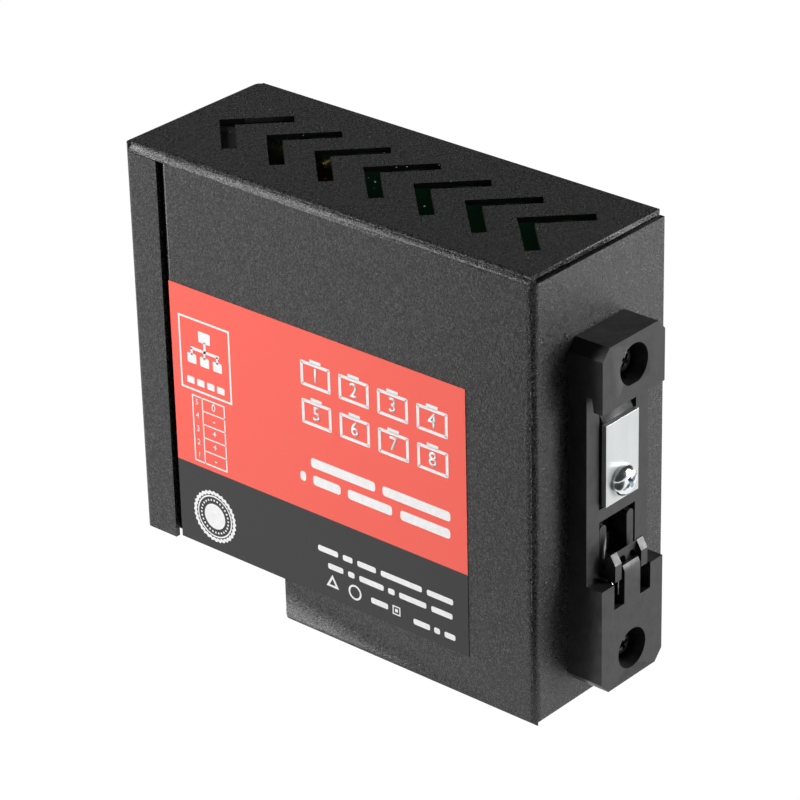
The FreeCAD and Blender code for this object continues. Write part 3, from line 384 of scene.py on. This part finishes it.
# The front cover's side flange ends below the bend of the top sheet.
CLEAR, CUT_INWARD, CUT_OUTWARD, CUT_ABOVE, CUT_LONG = 0.1, 4, 1, 1, 12
cover = closed_copy("front_cover")
left, right, front = SIDE - CUT_INWARD, SIDE + CUT_OUTWARD, LIP_FRONT - CLEAR
low, top = TOP - BEND - CLEAR, TOP + CUT_ABOVE
rim = [(left, front, low), (right, front, low), (right, front, top), (left, front, top)]
combine(cover, prism(rim, (0, CUT_LONG, 0)), "DIFFERENCE")
dressed("front_cover", powder, SHEET_EDGE, mesh=flattened(cover))
dressed("side_cover", powder, SHEET_EDGE)

# ---------------------------------------------------------------- side label
# A film stuck on the labelled side: a coral red field above a dark grey one, with white print.
# The print is plain: linked stations, a table of the terminal's ways, the ports and ruled lines.
GREY_TOP = 26.65 * MM
film = finish("label_film", (0.95, 0.17, 0.13), 0.42, specular=0.2)
tree = film.node_tree
place = add_node(tree, "ShaderNodeTexCoord")
split = add_node(tree, "ShaderNodeSeparateXYZ")
above = add_node(tree, "ShaderNodeMath", operation="GREATER_THAN")
above.inputs[1].default_value = GREY_TOP
field = add_node(tree, "ShaderNodeValToRGB")
field.color_ramp.interpolation = "CONSTANT"
grey, red = field.color_ramp.elements
grey.color = (0.045, 0.045, 0.046, 1)
red.position, red.color = 0.5, (0.92, 0.142, 0.109, 1)
wire(tree, (place.outputs["Object"], split.inputs[0]), (split.outputs["Z"], above.inputs[0]),
     (above.outputs[0], field.inputs["Fac"]),
     (field.outputs["Color"], tree.nodes["Principled BSDF"].inputs["Base Color"]))
raise_grain(film, [(grain(film, 700, 1.0), 0.00002)])


def wear(node, material):
    """Give a CAD node a finish and leave its shape as it is."""
    for slot in nodes[node].material_slots:
        slot.material = material


wear("side_label", film)

# The print is drawn flat, in millimetres across and up the label, and thickened at the end.
PRINT_THICK = 0.02
ink = finish("white_ink", (0.90, 0.90, 0.89), 0.40)
tint(ink, grain(ink, 1100), [(0.3, 0.84), (0.7, 0.93)])
print_mesh = bmesh.new()
CORNER_STEPS = 4


def bar(left, low, right, top, radius=0.0):
    """Print one filled rectangle, with round corners if a radius is given."""
    corners = ((left, low, 180), (right, low, 270), (right, top, 0), (left, top, 90))
    rim = []
    for across, up, turn in corners:
        middle = Vector((across + (radius if across == left else -radius),
                         up + (radius if up == low else -radius), 0))
        for step in range(CORNER_STEPS + 1 if radius else 1):
            angle = math.radians(turn + 90 / CORNER_STEPS * step)
            rim.append(middle + radius * Vector((math.cos(angle), math.sin(angle), 0)))
    face = print_mesh.faces.new([print_mesh.verts.new(point) for point in rim])
    face.normal_update()
    return face


def hollowed(face, width):
    """Leave only a band of a printed face, along its rim."""
    bmesh.ops.inset_region(print_mesh, faces=[face], thickness=width, use_even_offset=True,
                           use_boundary=True)
    bmesh.ops.delete(print_mesh, geom=[face], context="FACES_ONLY")


def frame_line(left, low, right, top, width, radius=0.0):
    """Print the outline of a rectangle."""
    hollowed(bar(left, low, right, top, radius), width)


def disc(across, up, radius, inner=0.0, sides=48, wave=0.0):
    """Print a disc or a ring, with a scalloped rim if a wave is given."""
    made = bmesh.ops.create_circle(print_mesh, cap_ends=True, segments=sides, radius=radius,
                                   matrix=Matrix.Translation((across, up, 0)))
    for index, vert in enumerate(made["verts"]):
        if wave and index % 2:
            vert.co += (Vector((across, up, 0)) - vert.co).normalized() * wave
    if inner:
        hollowed(made["verts"][0].link_faces[0], radius - inner)


STROKE_SPREAD = 0.010


def digits(text, across, up, size):
    """Print plain numbers or signs, centred on a place."""
    words = bpy.data.curves.new("digits", "FONT")
    words.body = text
    words.size = size
    words.align_x = "CENTER"
    words.align_y = "CENTER"
    words.offset = size * STROKE_SPREAD
    words.resolution_u = 3
    holder = bpy.data.objects.new("digits", words)
    scene.collection.objects.link(holder)
    bpy.context.view_layer.update()
    flat = bpy.data.meshes.new_from_object(
        holder.evaluated_get(bpy.context.evaluated_depsgraph_get()))
    flat.transform(Matrix.Translation((across, up, 0)))
    print_mesh.from_mesh(flat)
    bpy.data.objects.remove(holder)
    bpy.data.meshes.remove(flat)


# a plain square-cornered plate with a small tree of linked stations
frame_line(-37.9, 42.8, -24.7, 58.2, 0.4)
bar(-32.8, 53.6, -29.8, 55.9, 0.25)
bar(-31.6, 51.6, -31.0, 53.8)
bar(-35.0, 51.5, -27.6, 52.1)
for across in (-35.9, -32.6, -29.3):
    bar(across + 0.9, 50.3, across + 1.4, 51.8)
    bar(across, 48.6, across + 2.3, 50.6, 0.25)
for across in range(4):
    bar(-36.3 + across * 2.6, 44.2, -34.4 + across * 2.6, 45.6, 0.2)

# the table of the terminal's five ways
TABLE_LEFT, TABLE_LOW, TABLE_RIGHT, TABLE_TOP = -35.3, 27.7, -26.8, 41.9
WAYS = "-++-0"
ROW = (TABLE_TOP - TABLE_LOW) / len(WAYS)
frame_line(TABLE_LEFT, TABLE_LOW, TABLE_RIGHT, TABLE_TOP, 0.28)
bar(-32.75, TABLE_LOW, -32.5, TABLE_TOP)
for number, sign in enumerate(WAYS):
    low = TABLE_LOW + number * ROW
    if number:
        bar(-32.6, low - 0.12, TABLE_RIGHT, low + 0.12)
    digits(str(number + 1), -34.0, low + 0.5 * ROW, 1.7)
    digits(sign, -29.7, low + 0.5 * ROW, 2.2)

# eight sockets in two rows, each with its number
PORTS, PORTS_LEFT, ROWS_LOW = 8, -6.8, (53.0, 45.1)
PORT_PITCH, PORT_WIDE, PORT_TALL = 9.35, 7.3, 5.1
for number in range(PORTS):
    row, column = divmod(number, PORTS // 2)
    left = PORTS_LEFT + column * PORT_PITCH
    low = ROWS_LOW[row]
    frame_line(left, low, left + PORT_WIDE, low + PORT_TALL, 0.62, 0.3)
    bar(left + 2.3, low + 5.0, left + 5.0, low + 5.75)
    digits(str(number + 1), left + PORT_WIDE / 2, low + PORT_TALL / 2, 4.1)

# ruled lines in place of words: the low edge, the height and the ends of each bar
LINES = [(36.3, 2.0, [(-5.0, 10.8), (12.6, 28.8)]),
         (32.7, 2.0, [(-7.8, -6.4), (-4.6, 2.2), (4.0, 14.8), (16.8, 28.7)]),
         (19.0, 1.2, [(-4.0, 1.0), (2.2, 4.6), (5.8, 10.4), (11.6, 21.6), (22.8, 29.1)]),
         (15.9, 1.2, [(-1.6, 2.2), (3.4, 5.0), (6.2, 12.2), (13.3, 14.9), (16.0, 22.6),
                      (23.8, 28.9)]),
         (11.6, 1.2, [(19.4, 23.4), (24.4, 25.8), (26.9, 29.5)]),
         (12.3, 1.2, [(9.0, 13.2)])]
for low, tall, bars in LINES:
    for left, right in bars:
        bar(left, low, right, low + tall, tall * 0.3)

# a triangle, a ring and a small square
disc(-0.6, 13.0, 1.8, 1.35, sides=3)
disc(5.0, 13.0, 1.6, 1.2)
frame_line(14.3, 11.9, 16.2, 13.8, 0.25)
bar(14.9, 12.5, 15.6, 13.2)

# a plain scalloped seal with a ring of dots
SEAL_ACROSS, SEAL_UP, DOTS, DOT_RING = -30.8, 16.8, 28, 3.5
disc(SEAL_ACROSS, SEAL_UP, 5.6, 5.0, sides=64, wave=0.32)
disc(SEAL_ACROSS, SEAL_UP, 4.5, 4.2)
disc(SEAL_ACROSS, SEAL_UP, 2.7)
for step in range(DOTS):
    angle = 2 * math.pi * step / DOTS
    disc(SEAL_ACROSS + DOT_RING * math.cos(angle), SEAL_UP + DOT_RING * math.sin(angle), 0.22,
         sides=8)

# The flat print is given its thickness and is laid on the film, across along Y and up along Z.
label_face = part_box("side_label")[1].x / MM
for face in print_mesh.faces:
    if face.normal.z < 0:
        face.normal_flip()
stretched(print_mesh, print_mesh.faces[:], (0, 0, PRINT_THICK))
bmesh.ops.recalc_face_normals(print_mesh, faces=print_mesh.faces)
ON_LABEL = Matrix(((0, 0, 1, label_face), (1, 0, 0, 0), (0, 1, 0, 0), (0, 0, 0, 1)))
bmesh.ops.transform(print_mesh, matrix=Matrix.Scale(MM, 4) @ ON_LABEL, verts=print_mesh.verts)
label_print = linked("label_print", print_mesh, ink)
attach(label_print, "case")

# ---------------------------------------------------------------- rail clip and its latch
# Glass-filled nylon, moulded black with a satin skin that is a little scuffed. The latch slides
# behind the lower block and carries two sprung prongs for the rail's lower edge.
nylon = finish("black_nylon", (0.020, 0.020, 0.020), 0.36)
tint(nylon, grain(nylon, 420, 3.0), [(0.30, 0.012), (0.70, 0.026)])
tint(nylon, grain(nylon, 380, 3.0), [(0.30, 0.28), (0.70, 0.48)], "Roughness")
raise_grain(nylon, [(grain(nylon, 900), 0.00003), (grain(nylon, 90), 0.00005)])

# The clip's depths are millimetres behind the face that it is screwed to.
clip_low, clip_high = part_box("clip_body")
ARC_STEPS = 12
BEHIND = Matrix.Translation((0, clip_low.y, 0)) @ Matrix.Scale(MM, 4)


def round_top(left, right, low, top, back, front):
    """A block with a half-round top, between two depths."""
    radius = (right - left) / 2
    rim = [(left, back, low), (right, back, low)]
    for step in range(ARC_STEPS + 1):
        angle = math.pi * step / ARC_STEPS
        rim.append(((left + right) / 2 + radius * math.cos(angle), back,
                    top - radius + radius * math.sin(angle)))
    return prism(rim, (0, front - back, 0), BEHIND)


# The lip of the upper hook runs the whole width, in front of the ramp above the plate.
LIP_LOW, HOOK_ROOT, LIP_BACK, LIP_TAPER, LIP_HALF, OVERLAP = 62.6, 65.2, 5.3, 0.4, 5.4, 0.3
clip_front = (clip_high.y - clip_low.y) / MM
clip = closed_copy("clip_body")
rim = [(-LIP_HALF, LIP_BACK, HOOK_ROOT + OVERLAP), (-LIP_HALF, LIP_BACK, HOOK_ROOT),
       (-LIP_HALF, LIP_BACK + LIP_TAPER, LIP_LOW), (-LIP_HALF, clip_front, LIP_LOW),
       (-LIP_HALF, clip_front, HOOK_ROOT + OVERLAP)]
combine(clip, prism(rim, (2 * LIP_HALF, 0, 0), BEHIND), "UNION")
dressed("clip_body", nylon, 0.16 * MM, mesh=flattened(clip))

# The latch has a raised rib along each side of its window, a hollow between the ribs, and two
# small arches under the bar that joins its prongs.
RIB_INNER, RIB_OUTER, RIB_TOP, RIB_BACK, RIB_FRONT = 3.0, 4.9, 37.4, 3.1, 3.95
SHELF_TOP, SLIDE_TOP, HOLLOW_BACK, RIB_ROOT = 29.3, 33.0, 1.2, 0.5
ARCH_INNER, ARCH_OUTER, ARCH_TOP, NOSE_BACK, NOSE_FRONT, PAST = 0.35, 2.45, 30.9, 5.2, 6.3, 0.2
latch = closed_copy("clip_latch")
for side in (-1, 1):
    left, right = sorted((side * RIB_INNER, side * RIB_OUTER))
    combine(latch, round_top(left, right, SHELF_TOP - RIB_ROOT, RIB_TOP, RIB_BACK, RIB_FRONT),
            "UNION")
    left, right = sorted((side * ARCH_INNER, side * ARCH_OUTER))
    combine(latch, round_top(left, right, SHELF_TOP, ARCH_TOP, NOSE_BACK - PAST,
                             NOSE_FRONT + PAST), "DIFFERENCE")
low, top = SHELF_TOP, SLIDE_TOP + OVERLAP
rim = [(-RIB_INNER, HOLLOW_BACK, low), (RIB_INNER, HOLLOW_BACK, low),
       (RIB_INNER, HOLLOW_BACK, top), (-RIB_INNER, HOLLOW_BACK, top)]
combine(latch, prism(rim, (0, RIB_BACK, 0), BEHIND), "DIFFERENCE")
dressed("clip_latch", nylon, 0.10 * MM, body="latch", mesh=flattened(latch))

# ---------------------------------------------------------------- plate and screws of the clip
# A strip of bright zinc-plated steel lies on its seat under one pan-head screw with a combined
# slot and cross. Two black cross-head screws hold the clip from deep bores.
zinc = finish("bright_zinc", (0.62, 0.64, 0.64), 0.34, metallic=0.7)
tint(zinc, grain(zinc, 300, 3.0, stretch=(1, 1, 0.25)), [(0.35, 0.28), (0.65, 0.40)], "Roughness")
raise_grain(zinc, [(grain(zinc, 800, stretch=(1, 1, 0.2)), 0.00001)])
dressed("clip_plate", zinc, 0.04 * MM)
nickel = finish("bright_nickel", (0.86, 0.90, 0.92), 0.16, metallic=1.0)
tint(nickel, grain(nickel, 700), [(0.35, 0.12), (0.65, 0.24)], "Roughness")
raise_grain(nickel, [(grain(nickel, 500), 0.00002)])

# The latch's coil spring stands on a peg of the clip and has a mesh of its own; nothing here
# shortens it as the latch slides.
spring = dressed("latch_spring", nickel, 0)
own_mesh(spring)
blacked = finish("black_oxide", (0.10, 0.10, 0.105), 0.20, metallic=0.9)
tint(blacked, grain(blacked, 900), [(0.35, 0.12), (0.65, 0.28)], "Roughness")
raise_grain(blacked, [(grain(blacked, 700), 0.00003)])


TURNED_WELD = 1e-4
TURNED_SHARP = math.radians(38)


def turned_head(profile, steps=40):
    """A closed turned shape from (radius, height) points in millimetres, about the Z axis."""
    mesh = bmesh.new()
    line = [mesh.verts.new((radius, 0, height)) for radius, height in profile]
    sides = [mesh.edges.new(pair) for pair in zip(line, line[1:])]
    bmesh.ops.spin(mesh, geom=line + sides, axis=(0, 0, 1), cent=(0, 0, 0), angle=2 * math.pi,
                   steps=steps, use_merge=True)
    bmesh.ops.remove_doubles(mesh, verts=mesh.verts, dist=TURNED_WELD)
    bmesh.ops.recalc_face_normals(mesh, faces=mesh.faces)
    return mesh


def finished_piece(name, mesh, place, material):
    """Put a mesh made in millimetres in its place, in metres, and let it ride on the case."""
    bmesh.ops.transform(mesh, matrix=Matrix.Scale(MM, 4) @ place, verts=mesh.verts)
    for face in mesh.faces:
        face.smooth = True
    piece = linked(name, mesh, material)
    piece.data.set_sharp_from_angle(angle=TURNED_SHARP)
    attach(piece, "case")
    return piece


RECESS_TOP, FLOOR_LENGTH, FLOOR_WIDTH = 3.0, 0.55, 0.7


def sink_recess(mesh, bars):
    """Cut the recess of a driver: each bar is (length, width, floor, turn), narrower below."""
    for length, width, floor_height, turn in bars:
        cutter = bmesh.new()
        bmesh.ops.create_cube(cutter, size=1.0)
        for vert in cutter.verts:
            low = vert.co.z < 0
            vert.co.x *= length * (FLOOR_LENGTH if low else 1.0)
            vert.co.y *= width * (FLOOR_WIDTH if low else 1.0)
            vert.co.z = floor_height if low else RECESS_TOP
        bmesh.ops.rotate(cutter, verts=cutter.verts,
                         matrix=Matrix.Rotation(math.radians(turn), 3, "Z"))
        combine(mesh, cutter, "DIFFERENCE")


def standing(up, base, turn):
    """The place of a screw that faces back: its height, the depth of its seat and its turn."""
    return (Matrix.Translation((0, base, up)) @ Matrix.Rotation(math.radians(-90), 4, "X")
            @ Matrix.Rotation(math.radians(turn), 4, "Z"))


plate_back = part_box("clip_plate")[1].y
screw_low, screw_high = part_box("plate_screw")
PAN_HIGH = (screw_high.y - plate_back) / MM
pan = turned_head([(0, PAN_HIGH), (1.2, PAN_HIGH * 0.98), (2.1, PAN_HIGH * 0.86),
                   (2.7, PAN_HIGH * 0.62), (3.0, PAN_HIGH * 0.30), (3.0, 0), (0.98, 0),
                   (0.98, -3.0), (0, -3.0)])
sink_recess(pan, [(3.1, 0.95, 0.7, 0), (3.1, 0.95, 0.7, 90), (6.4, 0.62, 1.35, 0)])
screw_up = (screw_low.z + screw_high.z) / 2 / MM
plate_screw = finished_piece("plate_screw_turned", pan, standing(screw_up, plate_back / MM, 28),
                             nickel)
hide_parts("plate_screw")
fixing_low, fixing_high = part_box("clip_screws")
HEAD_HIGH, HEAD_RADIUS = 2.0, 2.9
seat = fixing_high.y / MM - HEAD_HIGH
for number, up in enumerate((fixing_low.z / MM + HEAD_RADIUS, fixing_high.z / MM - HEAD_RADIUS)):
    head = turned_head([(0, HEAD_HIGH), (1.3, HEAD_HIGH * 0.97), (2.2, HEAD_HIGH * 0.80),
                        (2.8, HEAD_HIGH * 0.45), (HEAD_RADIUS, 0), (1.25, 0), (1.25, -8.0),
                        (0, -8.0)])
    sink_recess(head, [(3.2, 0.85, 0.5, 0), (3.2, 0.85, 0.5, 90)])
    piece = finished_piece("clip_screw_%d" % number, head, standing(up, seat, 20 + 33 * number),
                           blacked)
    if number:
        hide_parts("clip_screws")

# ---------------------------------------------------------------- countersunk screws of the covers
# Small black countersunk screws with a cross recess, flush with the far side.
for node in ("side_cover_screws", "front_cover_screws"):
    wear(node, blacked)

# ---------------------------------------------------------------- ports and power terminal
# A tinplate shield wraps a black moulded block of eight sockets with gilt springs and two lamps
# each. The power terminal is a green plug in a green header, with five clamp screws.
tinplate = finish("tinplate", (0.74, 0.75, 0.76), 0.26, metallic=1.0)
tint(tinplate, grain(tinplate, 500, 3.0, stretch=(1, 1, 0.3)), [(0.35, 0.20), (0.65, 0.36)],
     "Roughness")
raise_grain(tinplate, [(grain(tinplate, 120), 0.00003)])
moulding = finish("black_moulding", (0.018, 0.018, 0.019), 0.38)
tint(moulding, grain(moulding, 800), [(0.35, 0.32), (0.65, 0.48)], "Roughness")
raise_grain(moulding, [(grain(moulding, 1200), 0.00002)])
gilt = finish("gilt", (0.92, 0.66, 0.26), 0.22, metallic=1.0)
tint(gilt, grain(gilt, 900), [(0.35, 0.16), (0.65, 0.30)], "Roughness")
window = finish("milky_window", (0.82, 0.85, 0.80), 0.28)
tint(window, grain(window, 500), [(0.3, 0.72), (0.7, 0.86)])
green = finish("green_terminal", (0.020, 0.330, 0.110), 0.42)
tint(green, grain(green, 600), [(0.3, (0.014, 0.26, 0.085)), (0.7, (0.026, 0.38, 0.135))])
raise_grain(green, [(grain(green, 1000), 0.00002)])
clear = finish("clear_pipe", (0.86, 0.90, 0.90), 0.10)
clear.node_tree.nodes["Principled BSDF"].inputs["Transmission Weight"].default_value = 0.85
raise_grain(clear, [(grain(clear, 400, 1.0), 0.00001)])

# The shield's upward faces, seen through the vents, take the black moulding finish: painted shade,
# for the shade inside the case.
shield = dressed("jack_shield", tinplate, 0.05 * MM)
second_finish(shield, moulding, lambda face: face.normal.z > 0.9)
dressed("jack_body", moulding, 0.06 * MM)
dressed("terminal_plug", green, 0.15 * MM)
for node, material in (("jack_contacts", gilt), ("jack_lamps", window), ("terminal_header", green),
                       ("terminal_pins", tinplate), ("terminal_screws", zinc),
                       ("power_light_pipe", clear), ("power_light", window)):
    wear(node, material)

# ---------------------------------------------------------------- board and what stands on it
# A green glass-fibre board on four brass pillars carries the switch chip, the magnetics, the
# supply's coil and cans and small parts. All of it is inside, seen only through the slots.
# The board's green mask is darkened well below its own colour: painted shade, for the shade inside
# the case.
board_mask_and_shade = finish("green_board_painted_shade", (0.010, 0.085, 0.030), 0.34)
tint(board_mask_and_shade, grain(board_mask_and_shade, 160, 4.0, kind="ShaderNodeTexVoronoi"),
     [(0.05, (0.30, 0.33, 0.28)), (0.12, (0.006, 0.036, 0.015)), (0.60, (0.004, 0.026, 0.011))])
brass = finish("brass", (0.80, 0.62, 0.30), 0.28, metallic=1.0)
tint(brass, grain(brass, 600), [(0.35, 0.22), (0.65, 0.36)], "Roughness")
foil = finish("can_foil", (0.78, 0.79, 0.80), 0.30, metallic=1.0)
tint(foil, grain(foil, 400), [(0.35, 0.24), (0.65, 0.40)], "Roughness")
for node, material in (("main_board", board_mask_and_shade), ("board_pillars", brass), ("board_screws", gilt),
                       ("switch_chip", moulding), ("magnetics", moulding), ("capacitors", foil),
                       ("inductor", moulding), ("crystal", foil), ("regulator", moulding),
                       ("board_chip_parts", moulding), ("case_press_nuts", zinc),
                       ("front_cover_nuts", zinc), ("clip_press_nuts", zinc)):
    wear(node, material)

# ---------------------------------------------------------------- dust
# A few pale flecks lie on the top, as on any part that was handled.
FLECKS, FLECK_SIZES, FLECK_SHAPE = 46, (0.05, 0.06, 0.08, 0.13), (1.6, 0.7, 0.5, 1)
SUNK, MARGIN = 0.3, 2
random.seed(7)
dust_mesh = bmesh.new()
for fleck in range(FLECKS):
    across = random.uniform(-16.5, 16.0)
    along = random.uniform(SHELL_LOW.y + MARGIN, SHELL_HIGH.y - MARGIN)
    size = random.choice(FLECK_SIZES)
    spot = Matrix.Translation((across, along, TOP - SUNK * size))
    lie = spot @ Matrix.Rotation(random.random() * 6, 4, "Z")
    bmesh.ops.create_icosphere(dust_mesh, subdivisions=1, radius=size,
                               matrix=lie @ Matrix.Diagonal(FLECK_SHAPE))
lint = finish("dust", (0.42, 0.42, 0.41), 0.85)
tint(lint, grain(lint, 2000), [(0.3, 0.30), (0.7, 0.55)])
dust = finished_piece("top_dust", dust_mesh, Matrix.Identity(4), lint)
